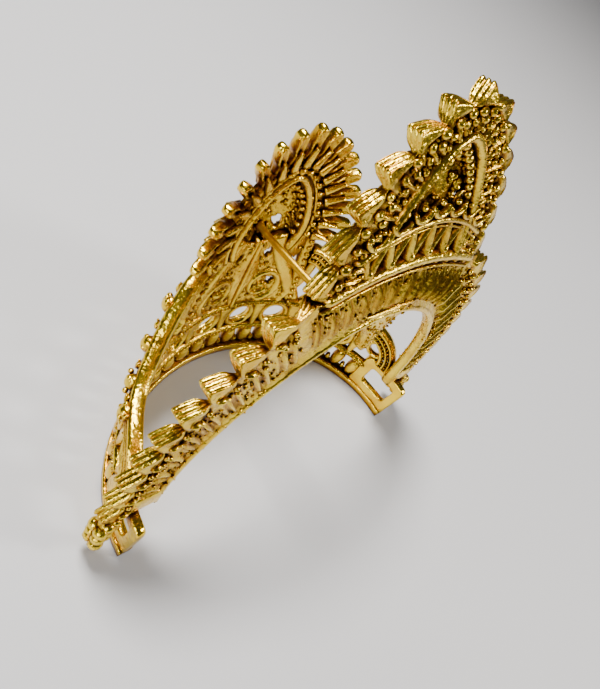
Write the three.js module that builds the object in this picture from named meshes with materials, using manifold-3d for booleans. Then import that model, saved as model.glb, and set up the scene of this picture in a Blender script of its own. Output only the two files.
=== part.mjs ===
// A small gilt crown for a household deity figure, cast in brass in two openwork pieces.
// The front band is half an oval that stands on its flat underside and rises to a rayed leaf in the middle.
// The rear arch runs from ear to ear with a rayed wing on each side and a tall rayed crest on top.
// A thin rod in the mirror plane ties the leaf to the arch.
// Millimetres, +Z up, the front faces -Y, X = 0 is the mirror plane and the underside is at Z = 0.
// The shapes are worked out from the line between the band's two ends, and the whole crown is then
// moved so that the origin is under the middle of its box.

import * as THREE from "three";
import { mergeVertices } from "three/addons/utils/BufferGeometryUtils.js";
import Module from "manifold-3d";

// Overall sizes
const BAND_HALF_WIDTH = 32;
const BAND_DEPTH = 27.8;
const WALL_FLARE = 0.0056; // how much the front wall leans out, per millimetre of height
const LEAF_CURL = 0.00014; // how much the leaf curls back again above CURL_Z
const CURL_Z = 32;
const WALL_THICK = 1.6;
const PIECE_GAP = 0.3; // the solder line between two pieces

// Front band, heights above the underside
const FOOT_RAIL_HIGH = 1.7;
const BEAD_RAIL_Z = 7.3;
const PETAL_RAIL_Z = 14.4;
const WALL_TOP_Z = 17.4;
const SHOULDER_Z = 25.5;
const TAB_HIGH = 10.8;
const TAB_LONG = 11;
const SLOT_LONG = 6.6;
const SLOT_HIGH = 4.9;
const SLOT_Z = 6.2;
const RAIL_WIDE = 1.5;
const RAIL_THICK = 2.2;
const PETAL_PITCH = 3.9;
const DROP_PITCH = 8;
const KNOB_RADIUS = 1.25;
const MOULDING_WIDE = 3.6;
const LOOP_LONG = 13.6; // the open loop at the band's end starts this far from the end
const LOOP_FOOT = 7.4; // and comes down onto the tab this far from it
const LOOP_RING_RADIUS = 1.9;

// Front leaf
const LEAF_Z = 33.6;
const LEAF_HALF_WIDTH = 17;
const LEAF_RISE = 20.6;
const LEAF_POINT = 1.8; // under 2 the outline is pointed, at 2 it is an ellipse
const LEAF_RIM_HALF = 7.4;
const LEAF_RIM_RISE = 11.4;
const LEAF_RIM_POINT = 1.6;
const HOLLOW_FOOT_TURN = -0.4; // where the hollow's floor ends below, as a turn of its rim
const HOLLOW_DEEP = 2.6; // how far the hollow's floor bulges to the front
const HOLLOW_THICK = 0.9;
const HOLLOW_HOLE_RADIUS = 1;
const FINGER_LONG = 6;
const FINGER_PITCH = 3.85;
const FINGERS_A_SIDE = 8;

// The thin ground of the wall under the leaf: half widths at its foot and top, its height, and its
// piercings on each side as across and up.
const GROUND_HALF = [11.6, 8.6];
const GROUND_TOP = LEAF_Z - 3;
const GROUND_HOLE_RADIUS = 0.9;
const GROUND_HOLES = [[3.4, 27.6], [9.1, 27.2], [6.8, 20.3]];

// Rear arch
const ARCH_SETBACK = 3.2;
const ARCH_LEAN = 0.117;
const CREST_LEAN = 0.27; // added to the lean above the bend
const BEND_Z = 45.4;
const BEND_SOFT = 5;
const ARCH_THICK = 1.5;
const ARCH_FOOT_Z = TAB_HIGH + PIECE_GAP;
const INNER_HALF = 28.3;
const INNER_RISE = 33.6;
const OUTER_HALF = 37.2;
const OUTER_RISE = 48;
const OUTER_Z = 9.6;
const OUTER_ROUND = 2.3;
const WING_RAYS = 11;
const TOOTH_PITCH = 5.15;
const TOOTH_LONG = 3.2;
const TOOTH_THICK = 2.2;
const TOOTH_FORWARD = 0.6; // how far the teeth stand forward of the plate's middle
const TAIL_TEETH = 2;
const TAIL_ROOT_Z = 9; // the tail's lower edge at the band, and at its tip
const TAIL_TIP_Z = 2.6;
const PENDANT_TIP_Z = 36.8;
const PENDANT_HALF = 8;
const PENDANT_THICK = 1.95;
const SOLDER_PAD_HIGH = 4.4;
const SOLDER_PAD_THICK = 2.4;

// Crest on the arch
const CREST_Z = 51.6;
const CREST_HALF = 18.5;
const CREST_RISE = 23.5;
const CREST_TOOTH_LONG = 2.4;
const CREST_POINT = 1.8;
const CREST_RIM_HALF = 9.8;
const CREST_RIM_RISE = 16.8;
const CREST_RAYS_A_SIDE = 6;
const LOW_RAIL = { half: 16.5, z: 50.8, rise: 2.6 }; // the crest's two base rails are bowed up in the middle
const HIGH_RAIL = { half: 13.6, z: 55.4, rise: 3.8 };
const RAIL_STRUTS = 6;
const STRUTS_HALF = 12;
const CREST_FOOT_TURN = 0.36; // where the crest's hollow ends below, as a turn of its rim
const CREST_DEEP = 1.8;

// Rod between the leaf and the arch
const ROD_FRONT_Z = 32.4;
const ROD_FRONT_RISE = 0.12; // the same place, as a share of the hollow's height
const ROD_REAR_Z = 38.6;
const ROD_FRONT_RADIUS = 0.55;
const ROD_REAR_RADIUS = 0.75;

const wasm = await Module();
wasm.setup();

const SIDES = [-1, 1];
const MERGE_REACH = 1e-3; // corners closer than this are one corner
const range = (count) => Array.from({ length: count }, (_, index) => index);
const mix = THREE.MathUtils.lerp;

// Surfaces that the ornament is bent onto

// Arc length along the base oval from the front centre, tabled once so that it can be turned round.
const OVAL_STEPS = 240;
const ovalTable = [0];
for (let step = 1; step <= OVAL_STEPS; step += 1) {
  const turn = ((step - 0.5) / OVAL_STEPS) * (Math.PI / 2);
  const speed = Math.hypot(BAND_HALF_WIDTH * Math.cos(turn), BAND_DEPTH * Math.sin(turn));
  ovalTable.push(ovalTable[step - 1] + (speed * Math.PI) / 2 / OVAL_STEPS);
}
const BAND_END = ovalTable[OVAL_STEPS];

function ovalTurn(along) {
  const far = Math.min(Math.abs(along), BAND_END);
  let step = Math.min(OVAL_STEPS - 1, Math.floor((far / BAND_END) * OVAL_STEPS));
  while (step > 0 && ovalTable[step] > far) step -= 1;
  while (step < OVAL_STEPS - 1 && ovalTable[step + 1] < far) step += 1;
  const part = (far - ovalTable[step]) / (ovalTable[step + 1] - ovalTable[step]);
  return (Math.sign(along) * (step + part) * Math.PI) / 2 / OVAL_STEPS;
}

// A point of the front wall: along the base oval, up, and out from the middle of its thickness.
function wallPoint(along, up, out) {
  const turn = ovalTurn(along);
  const flare = 1 + WALL_FLARE * up - LEAF_CURL * Math.max(0, up - CURL_Z) ** 2;
  const normal = new THREE.Vector2(BAND_DEPTH * Math.sin(turn), -BAND_HALF_WIDTH * Math.cos(turn));
  normal.normalize();
  const x = BAND_HALF_WIDTH * Math.sin(turn) + normal.x * out;
  const y = -BAND_DEPTH * Math.cos(turn) * flare + normal.y * out;
  return new THREE.Vector3(x, y, up);
}

// A point of the rear arch: across, up, and forward from the middle of its thickness.
function archPoint(across, up, out) {
  const past = up - BEND_Z;
  const bent = (past + Math.sqrt(past * past + BEND_SOFT * BEND_SOFT)) / 2;
  const forward = ARCH_SETBACK + ARCH_LEAN * up + CREST_LEAN * bent;
  const slope = ARCH_LEAN + (CREST_LEAN * bent) / Math.sqrt(past * past + BEND_SOFT * BEND_SOFT);
  const length = Math.hypot(1, slope);
  return new THREE.Vector3(across, -forward - out / length, up - (out * slope) / length);
}

// Solids

function solidOf(geometry) {
  const plain = geometry.clone();
  plain.deleteAttribute("normal");
  plain.deleteAttribute("uv");
  const merged = mergeVertices(plain, MERGE_REACH);
  const vertProperties = new Float32Array(merged.attributes.position.array);
  const triVerts = new Uint32Array(merged.index.array);
  const solid = new wasm.Manifold(new wasm.Mesh({ numProp: 3, vertProperties, triVerts }));
  if (solid.volume() > 0) return solid;
  triVerts.reverse();
  return new wasm.Manifold(new wasm.Mesh({ numProp: 3, vertProperties, triVerts }));
}

// Joins a list pairwise, which keeps each join small.
function join(solids) {
  let rest = solids;
  while (rest.length > 1) {
    const next = [];
    for (let index = 0; index < rest.length; index += 2) {
      next.push(index + 1 < rest.length ? rest[index].add(rest[index + 1]) : rest[index]);
    }
    rest = next;
  }
  return rest[0];
}

function geometryOf(solid) {
  const mesh = solid.getMesh();
  const geometry = new THREE.BufferGeometry();
  geometry.setAttribute("position", new THREE.BufferAttribute(new Float32Array(mesh.vertProperties), 3));
  geometry.setIndex(new THREE.BufferAttribute(new Uint32Array(mesh.triVerts), 1));
  return geometry;
}

// One cast piece. The small voids that are trapped where its ornaments cross are filled, also those
// that close only where corners a hair apart are merged.
function cast(solids) {
  const whole = solidOf(geometryOf(join(solids)));
  const bodies = whole.decompose().filter((body) => body.volume() > 0);
  if (bodies.length > 1) throw new Error("the piece falls into " + bodies.length + " parts");
  return bodies[0];
}

// A box whose every corner and edge point is placed by a function of u, v and w.
// u and v run from 0 to 1, and w, through the thickness, from -1/2 to 1/2.
function warpedBox(uSteps, vSteps, place) {
  const geometry = new THREE.BoxGeometry(1, 1, 1, uSteps, vSteps, 1);
  const position = geometry.attributes.position;
  for (let index = 0; index < position.count; index += 1) {
    const u = position.getX(index) + 0.5;
    const v = position.getY(index) + 0.5;
    const point = place(u, v, position.getZ(index));
    position.setXYZ(index, point.x, point.y, point.z);
  }
  return solidOf(geometry);
}

// Thickness across a bar, from one edge to the other, as shares of its full thickness.
const FLAT = [1, 1];
const RIDGED = [0.4, 1, 0.4];

// A bar that follows a path on a surface.
function bar(surface, path, { wide, thick, out = 0, steps = 8, profile = RIDGED }) {
  const width = typeof wide === "function" ? wide : () => wide;
  const depth = typeof thick === "function" ? thick : () => thick;
  const reach = 0.5 / steps;
  const rows = profile.length - 1;
  return warpedBox(steps, rows, (u, v, w) => {
    const here = path(u);
    const before = path(Math.max(0, u - reach));
    const after = path(Math.min(1, u + reach));
    const along = new THREE.Vector2(after[0] - before[0], after[1] - before[1]).normalize();
    const side = (v - 0.5) * width(u);
    const point = [here[0] - along.y * side, here[1] + along.x * side];
    return surface(point[0], point[1], out + w * depth(u) * profile[Math.round(v * rows)]);
  });
}

// A plate between an inner and an outer edge. Each station gives both edges and the thickness there.
// Each row is a place from the inner edge to the outer one, and how much of the change in thickness it has.
function stationPlate(surface, stations, rows) {
  return warpedBox(stations.length - 1, rows.length - 1, (u, v, w) => {
    const { low, high, thick } = stations[Math.round(u * (stations.length - 1))];
    const [part, share] = rows[Math.round(v * (rows.length - 1))];
    const depth = mix(thick[0], thick[1], share);
    const forward = thick === TOOTH ? TOOTH_FORWARD * share : 0;
    return surface(mix(low[0], high[0], part), mix(low[1], high[1], part), w * depth + forward);
  });
}

const line = (from, to) => (t) => [mix(from[0], to[0], t), mix(from[1], to[1], t)];
const mirrored = (path, side) => (t) => [side * path(t)[0], path(t)[1]];

// A spiral that starts wide and winds in round its centre.
const SCROLL_WIND = 0.62; // the share of its radius that it loses
function scroll(centre, radius, from, turns) {
  return (t) => {
    const turn = from + turns * 2 * Math.PI * t;
    const size = radius * (1 - SCROLL_WIND * t);
    return [centre[0] + size * Math.cos(turn), centre[1] + size * Math.sin(turn)];
  };
}

function ball(surface, at, radius, out = 0) {
  const geometry = new THREE.OctahedronGeometry(radius, 1);
  const centre = surface(at[0], at[1], out);
  geometry.translate(centre.x, centre.y, centre.z);
  return solidOf(geometry);
}

// A ring that lies in the surface.
function ring(surface, at, radius, tube) {
  const geometry = new THREE.TorusGeometry(radius, tube, 3, 7);
  const centre = surface(at[0], at[1], 0);
  const normal = surface(at[0], at[1], 1).sub(centre).normalize();
  const turn = new THREE.Quaternion().setFromUnitVectors(new THREE.Vector3(0, 0, 1), normal);
  geometry.applyQuaternion(turn);
  geometry.translate(centre.x, centre.y, centre.z);
  return solidOf(geometry);
}

// Outline of a rounded or pointed arch: turn 0 is its right foot and PI its left foot.
function archOutline(half, rise, base, power) {
  return (turn) => {
    const cos = Math.cos(turn);
    const sin = Math.sin(turn);
    const across = Math.sign(cos) * half * Math.abs(cos) ** (2 / power);
    return [across, base + Math.sign(sin) * rise * Math.abs(sin) ** (2 / power)];
  };
}

// Turns along an outline that are an even distance apart, from its middle down to one side.
function evenTurns(outline, pitch, count, start) {
  const turns = [];
  let turn = Math.PI / 2;
  let last = outline(turn);
  let walked = 0;
  let wanted = start;
  while (turns.length < count && turn > -Math.PI / 2) {
    turn -= 0.002;
    const point = outline(turn);
    walked += Math.hypot(point[0] - last[0], point[1] - last[1]);
    last = point;
    if (walked >= wanted) {
      turns.push(turn);
      wanted += pitch;
    }
  }
  return turns;
}

// Rear arch

const innerEdge = archOutline(INNER_HALF, INNER_RISE, ARCH_FOOT_Z, 2);
const LEVEL_TURN = 1.06; // the wing's rays start at this turn, beside the crest
const WING_START = 22; // and this far along the outline from its middle
const WING_PEAK = 0.72; // where a saw tooth's tip is, as a share of its ray, counted down the border
const CREST_PEAK = 0.85;
const FOOT_INSIDE = BAND_HALF_WIDTH + WALL_THICK + PIECE_GAP;
const wingTips = archOutline(OUTER_HALF, OUTER_RISE, OUTER_Z, OUTER_ROUND);
const wingBase = archOutline(OUTER_HALF - TOOTH_LONG, OUTER_RISE - TOOTH_LONG, OUTER_Z, OUTER_ROUND);
const crestTips = archOutline(CREST_HALF, CREST_RISE, CREST_Z, CREST_POINT);
const crestBase = archOutline(
  CREST_HALF - CREST_TOOTH_LONG,
  CREST_RISE - CREST_TOOTH_LONG,
  CREST_Z,
  CREST_POINT,
);
const crestRim = archOutline(CREST_RIM_HALF, CREST_RIM_RISE, CREST_Z + 1, 1.7);

const RAY_ROWS = [[0, 0], [0.7, 0.2], [0.8, 1], [1, 1]];
const VALLEY = [ARCH_THICK, ARCH_THICK];
const TOOTH = [ARCH_THICK, TOOTH_THICK];

// The height of one of the crest's base rails at a place across.
function railUp({ half, z, rise }, across) {
  return z + rise * (1 - Math.min(1, (across / half) ** 2));
}

// The stations of one ray: the valley before it and the tip of its saw tooth.
function rayStations(turnAt, low, neck, tip, peak) {
  return [
    { low: low(turnAt(0)), high: neck(turnAt(0)), thick: VALLEY },
    { low: low(turnAt(peak)), high: tip(turnAt(peak)), thick: TOOTH },
  ];
}

// One wing and its half of the arch, from the middle down to the foot, as a fan of rays.
function wing(side) {
  const flip = (point) => [side * point[0], point[1]];
  const low = (turn) => flip(innerEdge(turn));
  const neck = (turn) => flip(wingBase(turn));
  const tip = (turn) => flip(wingTips(turn));
  const upper = range(5).map((index) => {
    const turn = mix(Math.PI / 2, LEVEL_TURN, index / 5);
    const across = wingBase(turn)[0];
    return { low: low(turn), high: [side * across, railUp(LOW_RAIL, across)], thick: VALLEY };
  });
  const turns = evenTurns(wingTips, TOOTH_PITCH, WING_RAYS, WING_START);
  const above = turns.filter((turn) => turn > 0);
  const fan = above.slice(0, -1).flatMap((turn, index) => {
    return rayStations((part) => mix(turn, above[index + 1], part), low, neck, tip, WING_PEAK);
  });
  const last = above[above.length - 1];
  const lastZ = wingTips(last)[1];
  const foot = [
    { low: low(0), high: neck(last), thick: VALLEY },
    { low: flip([FOOT_INSIDE, ARCH_FOOT_Z]), high: flip([OUTER_HALF, lastZ - 0.6]), thick: TOOTH },
  ];
  // The lowest teeth fan out and down from the corner over the band's end.
  const tailStation = (index, part, across, thick) => {
    const down = (index + part) / TAIL_TEETH;
    return {
      low: flip([FOOT_INSIDE, mix(ARCH_FOOT_Z - PIECE_GAP, TAIL_ROOT_Z, down)]),
      high: flip([across, mix(lastZ, TAIL_TIP_Z, down)]),
      thick,
    };
  };
  const tail = range(TAIL_TEETH).flatMap((index) => [
    tailStation(index, 0.4, OUTER_HALF - 0.4, TOOTH),
    tailStation(index, 0.6, OUTER_HALF - TOOTH_LONG * 0.6, VALLEY),
    tailStation(index, 1, OUTER_HALF + 0.2, TOOTH),
  ]);
  return stationPlate(archPoint, [...upper, ...fan, ...foot, ...tail], RAY_ROWS);
}

// The blank where the arch sits down on the band's end.
function solderPad(side) {
  const up = ARCH_FOOT_Z + SOLDER_PAD_HIGH / 2;
  const path = line([side * (INNER_HALF - 0.4), up], [side * (BAND_HALF_WIDTH + 1), up]);
  return bar(archPoint, path, { wide: SOLDER_PAD_HIGH, thick: SOLDER_PAD_THICK, steps: 1, profile: FLAT });
}

function pendant() {
  return warpedBox(1, 2, (u, v, w) => {
    const half = mix(0.35, PENDANT_HALF, v ** 1.7);
    const up = mix(PENDANT_TIP_Z, ARCH_FOOT_Z + INNER_RISE + 1, v);
    return archPoint((u - 0.5) * 2 * half, up, w * PENDANT_THICK);
  });
}

// The fan of rays round the crest, with one ray in the middle.
function crestFan() {
  const pitch = TOOTH_PITCH * 0.98;
  const right = evenTurns(crestTips, pitch, CREST_RAYS_A_SIDE + 1, pitch / 2);
  const left = right.map((turn) => Math.PI - turn);
  const marks = [...left.slice().reverse(), ...right];
  const stations = marks.slice(0, -1).flatMap((turn, index) => {
    const lowerEnd = index < CREST_RAYS_A_SIDE ? 1 - CREST_PEAK : CREST_PEAK;
    const peak = index === CREST_RAYS_A_SIDE ? 0.5 : lowerEnd;
    return rayStations((part) => mix(turn, marks[index + 1], part), crestRim, crestBase, crestTips, peak);
  });
  const end = marks[marks.length - 1];
  return stationPlate(
    archPoint,
    [...stations, { low: crestRim(end), high: crestBase(end), thick: VALLEY }],
    RAY_ROWS,
  );
}

function railPath(rail) {
  return (t) => {
    const across = mix(-rail.half, rail.half, t);
    return [across, railUp(rail, across)];
  };
}

// Slanting struts in pairs between the two base rails, with open triangles between them.
function railStruts() {
  const place = (index) => mix(-STRUTS_HALF, STRUTS_HALF, index / RAIL_STRUTS);
  return range(RAIL_STRUTS).flatMap((index) => {
    const across = place(index + 0.5);
    const foot = [across, railUp(LOW_RAIL, across)];
    return [place(index), place(index + 1)].map((end) => {
      const head = [end, railUp(HIGH_RAIL, end)];
      return bar(archPoint, line(foot, head), { wide: 1.4, thick: 1.9, steps: 1, profile: FLAT });
    });
  });
}

const CREST_HOLE = [5.4, 60.8];

// The thin floor of the crest's pointed hollow, which bulges to the front, with two piercings low down.
function crestFloor() {
  const floor = warpedBox(4, 5, (u, v, w) => {
    const edge = crestRim(mix(CREST_FOOT_TURN, Math.PI / 2, v));
    const across = u * 2 - 1;
    const out = 0.2 + CREST_DEEP * (1 - across * across) * Math.sqrt(Math.sin(Math.PI * v));
    return archPoint(across * edge[0], edge[1], out + w * HOLLOW_THICK);
  });
  const hole = (side) => ball(archPoint, [side * CREST_HOLE[0], CREST_HOLE[1]], HOLLOW_HOLE_RADIUS, 1);
  return SIDES.reduce((rest, side) => rest.subtract(hole(side)), floor);
}

function rearArch() {
  const around = (edge) => (t) => edge(Math.PI * t);
  const rim = bar(archPoint, around(innerEdge), { wide: 1.9, thick: 2.5, steps: 28, profile: FLAT });
  const rail = { wide: 1.5, thick: 2.6, steps: 6 };
  const innerRim = bar(archPoint, around(crestRim), { wide: 1.5, thick: 2.5, steps: 14, profile: FLAT });
  return cast([
    ...SIDES.flatMap((side) => [wing(side), solderPad(side)]),
    rim,
    pendant(),
    bar(archPoint, railPath(LOW_RAIL), rail),
    bar(archPoint, railPath(HIGH_RAIL), rail),
    ...railStruts(),
    crestFan(),
    innerRim,
    crestFloor(),
  ]);
}

// Front band

// The wall's upper edge from beside the leaf down to the end of the band.
const SHOULDER_START = 12.5;
const SHOULDER_END = BAND_END - LOOP_LONG;
const FALL_SHARE = 0.8; // it is down at its lowest after this share of its length
function shoulderPath(drop) {
  return (t) => {
    const along = mix(SHOULDER_START, SHOULDER_END, t);
    const fall = Math.min(1, t / FALL_SHARE);
    const eased = fall * fall * (3 - 2 * fall);
    return [along, mix(SHOULDER_Z + 3.5, WALL_TOP_Z, eased) - drop * mix(1.4, 1, t)];
  };
}

function bandRails() {
  const full = (up) => line([-BAND_END, up], [BAND_END, up]);
  const inner = BAND_END - TAB_LONG + 0.5;
  const short = (up) => line([-inner, up], [inner, up]);
  const foot = { wide: FOOT_RAIL_HIGH, thick: WALL_THICK + 0.8, steps: 22, profile: FLAT };
  const rail = { wide: RAIL_WIDE, thick: RAIL_THICK, steps: 18, profile: FLAT };
  return [
    bar(wallPoint, full(FOOT_RAIL_HIGH / 2), foot),
    bar(wallPoint, short(BEAD_RAIL_Z), rail),
    bar(wallPoint, line([-SHOULDER_END, PETAL_RAIL_Z], [SHOULDER_END, PETAL_RAIL_Z]), rail),
  ];
}

// Standing petals between the foot rail and the bead rail.
function petalRow() {
  const reach = BAND_END - TAB_LONG - 0.8;
  const count = Math.floor(reach / PETAL_PITCH);
  return range(2 * count + 1).map((index) => {
    const along = (index - count) * PETAL_PITCH;
    const path = line([along, FOOT_RAIL_HIGH - 0.3], [along, BEAD_RAIL_Z]);
    const wide = (t) => mix(1.2, 2.7, Math.sin(Math.PI * t));
    return bar(wallPoint, path, { wide, thick: wide, steps: 2, profile: FLAT });
  });
}

// Hanging drops and rings between the bead rail and the petal rail.
function dropRow() {
  const reach = BAND_END - TAB_LONG - 2;
  const count = Math.floor(reach / (DROP_PITCH / 2));
  return range(2 * count + 1).map((index) => {
    const along = ((index - count) * DROP_PITCH) / 2;
    if ((index - count) % 2 === 0) {
      const drop = line([along, BEAD_RAIL_Z], [along, PETAL_RAIL_Z]);
      const wide = (t) => mix(1, 3.1, t);
      return bar(wallPoint, drop, { wide, thick: 1.9, steps: 1, profile: FLAT });
    }
    return ring(wallPoint, [along, (BEAD_RAIL_Z + PETAL_RAIL_Z) / 2], 2.75, 0.62);
  });
}

// The flat end tab with the slot that the tie goes through.
function endTab(side) {
  const from = BAND_END - TAB_LONG;
  const tab = warpedBox(6, 1, (u, v, w) => {
    return wallPoint(side * mix(from, BAND_END, u), mix(0, TAB_HIGH, v), w * WALL_THICK);
  });
  const middle = from + TAB_LONG * 0.53;
  const slot = warpedBox(4, 1, (u, v, w) => {
    const along = middle + (u - 0.5) * SLOT_LONG;
    return wallPoint(side * along, SLOT_Z + (v - 0.5) * SLOT_HIGH, w * 4 * WALL_THICK);
  });
  return tab.subtract(slot);
}

// A doubled moulding and a row of knobs that run down from the leaf to the band's end.
function shoulder(side) {
  const path = mirrored(shoulderPath(1), side);
  const moulding = bar(wallPoint, path, { wide: MOULDING_WIDE, thick: 2.5, steps: 8 });
  const knobs = range(4).map((index) => ball(wallPoint, path(0.26 + 0.215 * index), KNOB_RADIUS, 1.5));
  return [moulding, ...knobs];
}

// An open loop that brings the wall's upper edge down onto the tab, with a ring inside it.
function endLoop(side) {
  const path = (t) => {
    const turn = (t * Math.PI) / 2;
    const along = mix(SHOULDER_END, BAND_END - LOOP_FOOT, Math.sin(turn));
    return [side * along, mix(TAB_HIGH - 0.4, WALL_TOP_Z - 1, Math.cos(turn))];
  };
  const middle = BAND_END - (LOOP_LONG + LOOP_FOOT) / 2 - 0.3;
  return [
    bar(wallPoint, path, { wide: 1.7, thick: 2.2, steps: 5, profile: FLAT }),
    ring(wallPoint, [side * middle, TAB_HIGH + LOOP_RING_RADIUS + 0.3], LOOP_RING_RADIUS, 0.5),
  ];
}

// Leafy scrolls that fill the wall between the petal rail and the shoulder.
function wallScrolls(side) {
  const bold = { wide: 2, thick: 2, steps: 7, profile: FLAT };
  const veins = range(4).map((index) => {
    const along = 12.5 + 5.4 * index;
    const top = shoulderPath(1.5)((along + 2 - SHOULDER_START) / (SHOULDER_END - SHOULDER_START));
    const path = mirrored(line([along - 1.6, PETAL_RAIL_Z], top), side);
    return bar(wallPoint, path, { ...bold, steps: 1 });
  });
  const curl = mirrored(scroll([5.2, PETAL_RAIL_Z + 5], 4.4, -Math.PI / 2, 1.05), side);
  return [...veins, bar(wallPoint, curl, bold)];
}

// Leaf on the front

const leafTips = archOutline(LEAF_HALF_WIDTH, LEAF_RISE, LEAF_Z, LEAF_POINT);
const leafBase = archOutline(LEAF_HALF_WIDTH - FINGER_LONG, LEAF_RISE - FINGER_LONG, LEAF_Z, LEAF_POINT);
const leafRim = archOutline(LEAF_RIM_HALF, LEAF_RIM_RISE, LEAF_Z, LEAF_RIM_POINT);

// The collar round the hollow, with the fingers that stand round it. It runs on down to the shoulders.
function fingerFan() {
  const right = evenTurns(leafTips, FINGER_PITCH, FINGERS_A_SIDE + 1, FINGER_PITCH / 2);
  const marks = [...right.map((turn) => Math.PI - turn).reverse(), ...right];
  const blend = (turn, part) => {
    const tip = leafTips(turn);
    const base = leafBase(turn);
    return [mix(base[0], tip[0], part), mix(base[1], tip[1], part)];
  };
  const rise = [WALL_THICK, 2.6];
  const flat = [WALL_THICK, WALL_THICK * 0.7];
  const stations = marks.slice(0, -1).flatMap((turn, index) => {
    const at = (part) => mix(turn, marks[index + 1], part);
    return [
      { low: leafRim(at(0)), high: blend(at(0), 0), thick: flat },
      { low: leafRim(at(0.25)), high: blend(at(0.25), 0.86), thick: rise },
      { low: leafRim(at(0.5)), high: blend(at(0.5), 1), thick: rise },
      { low: leafRim(at(0.75)), high: blend(at(0.75), 0.86), thick: rise },
    ];
  });
  const end = marks[marks.length - 1];
  stations.push({ low: leafRim(end), high: blend(end, 0), thick: flat });
  return stationPlate(wallPoint, stations, [[0, 0], [0.42, 0.42], [1, 1]]);
}

// How far the hollow's floor stands out to the front: across from -1 to 1 and up from 0 to 1.
function hollowBulge(across, rise) {
  return 0.35 + HOLLOW_DEEP * (1 - across * across) * Math.sqrt(Math.sin(Math.PI * rise));
}

// The thin floor of the hollow, with small piercings in it. Each is given across, up and out.
function hollowFloor() {
  const floor = warpedBox(4, 6, (u, v, w) => {
    const edge = leafRim(mix(HOLLOW_FOOT_TURN, Math.PI / 2, v));
    const across = u * 2 - 1;
    return wallPoint(across * edge[0], edge[1], hollowBulge(across, v) + w * HOLLOW_THICK);
  });
  const holes = [
    [0, LEAF_Z + 6, HOLLOW_DEEP],
    [3.6, LEAF_Z - 0.6, 1],
    [-3.6, LEAF_Z - 0.6, 1],
  ].map(([across, up, out]) => ball(wallPoint, [across, up], HOLLOW_HOLE_RADIUS, out));
  return holes.reduce((rest, hole) => rest.subtract(hole), floor);
}

// The thin ground that closes the wall behind the ornaments under the leaf, with small piercings.
function leafGround() {
  const ground = warpedBox(6, 2, (u, v, w) => {
    const half = mix(GROUND_HALF[0], GROUND_HALF[1], v);
    return wallPoint(mix(-half, half, u), mix(PETAL_RAIL_Z, GROUND_TOP, v), w * HOLLOW_THICK);
  });
  const holes = SIDES.flatMap((side) => {
    return GROUND_HOLES.map(([across, up]) => ball(wallPoint, [side * across, up], GROUND_HOLE_RADIUS));
  });
  return holes.reduce((rest, hole) => rest.subtract(hole), ground);
}

// Two big leaves curl up from the wall and carry the collar; a bud stands between them.
function leafFoot(side) {
  const curl = (t) => {
    const turn = mix(-0.75, 1.15, t);
    return [9.8 - 8.2 * Math.sin(turn) * 0.75, mix(PETAL_RAIL_Z + 1, LEAF_Z - 2, t)];
  };
  const outer = (t) => [mix(13.4, 10.6, t), mix(PETAL_RAIL_Z + 1, LEAF_Z - 1, t)];
  return [
    bar(wallPoint, mirrored(curl, side), { wide: 3.2, thick: 2, steps: 7 }),
    bar(wallPoint, mirrored(outer, side), { wide: 2.4, thick: 2.2, steps: 3, profile: FLAT }),
  ];
}

function leafBud() {
  const path = line([0, PETAL_RAIL_Z], [0, leafRim(HOLLOW_FOOT_TURN)[1] + 1]);
  const wide = (t) => 1.6 + 5 * Math.sin(Math.PI * Math.min(1, t * 1.05)) ** 1.5;
  return bar(wallPoint, path, { wide, thick: 1.8, steps: 7 });
}

function frontBand() {
  const rimPath = (t) => leafRim(mix(-0.5, Math.PI + 0.5, t));
  const rim = bar(wallPoint, rimPath, { wide: 1.6, thick: 2.7, out: -0.2, steps: 18 });
  return cast([
    ...bandRails(),
    ...petalRow(),
    ...dropRow(),
    ...SIDES.flatMap((side) => [
      endTab(side),
      ...endLoop(side),
      ...shoulder(side),
      ...wallScrolls(side),
      ...leafFoot(side),
    ]),
    fingerFan(),
    hollowFloor(),
    leafGround(),
    rim,
    leafBud(),
  ]);
}

// Rod from the leaf's hollow back to the middle of the arch, cut off a solder line short of both.
function strut(band, arch) {
  const front = wallPoint(0, ROD_FRONT_Z, hollowBulge(0, ROD_FRONT_RISE) - HOLLOW_THICK / 2);
  const rear = archPoint(0, ROD_REAR_Z, 0);
  const length = front.distanceTo(rear);
  const profile = [
    new THREE.Vector2(0, 0),
    new THREE.Vector2(ROD_FRONT_RADIUS * 1.5, 0),
    new THREE.Vector2(ROD_FRONT_RADIUS, length * 0.15),
    new THREE.Vector2(ROD_REAR_RADIUS, length * 0.85),
    new THREE.Vector2(ROD_REAR_RADIUS * 1.4, length),
    new THREE.Vector2(0, length),
  ];
  const geometry = new THREE.LatheGeometry(profile, 12);
  const away = rear.clone().sub(front).normalize();
  geometry.applyQuaternion(new THREE.Quaternion().setFromUnitVectors(new THREE.Vector3(0, 1, 0), away));
  geometry.translate(front.x, front.y, front.z);
  const gap = away.multiplyScalar(PIECE_GAP);
  const frontCut = band.translate(gap.toArray());
  const rearCut = arch.translate(gap.negate().toArray());
  // What sticks out on the far side of either wall falls away.
  const cuts = solidOf(geometry).subtract(frontCut).subtract(rearCut).decompose();
  return cuts.reduce((best, cut) => (cut.volume() > best.volume() ? cut : best));
}

function meshOf(name, solid, material) {
  const geometry = geometryOf(solid);
  geometry.computeVertexNormals();
  const made = new THREE.Mesh(geometry, material);
  made.name = name;
  return made;
}

const gilt = (color, roughness) => new THREE.MeshStandardMaterial({ color, roughness, metalness: 1 });

const crown = new THREE.Group();
crown.name = "deity_crown";
const bandSolid = frontBand();
const archSolid = rearArch();
crown.add(meshOf("front_band", bandSolid, gilt(0xd9a93a, 0.3)));
crown.add(meshOf("rear_arch", archSolid, gilt(0xd6a843, 0.34)));
crown.add(meshOf("strut", strut(bandSolid, archSolid), gilt(0xd08f22, 0.22)));


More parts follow.
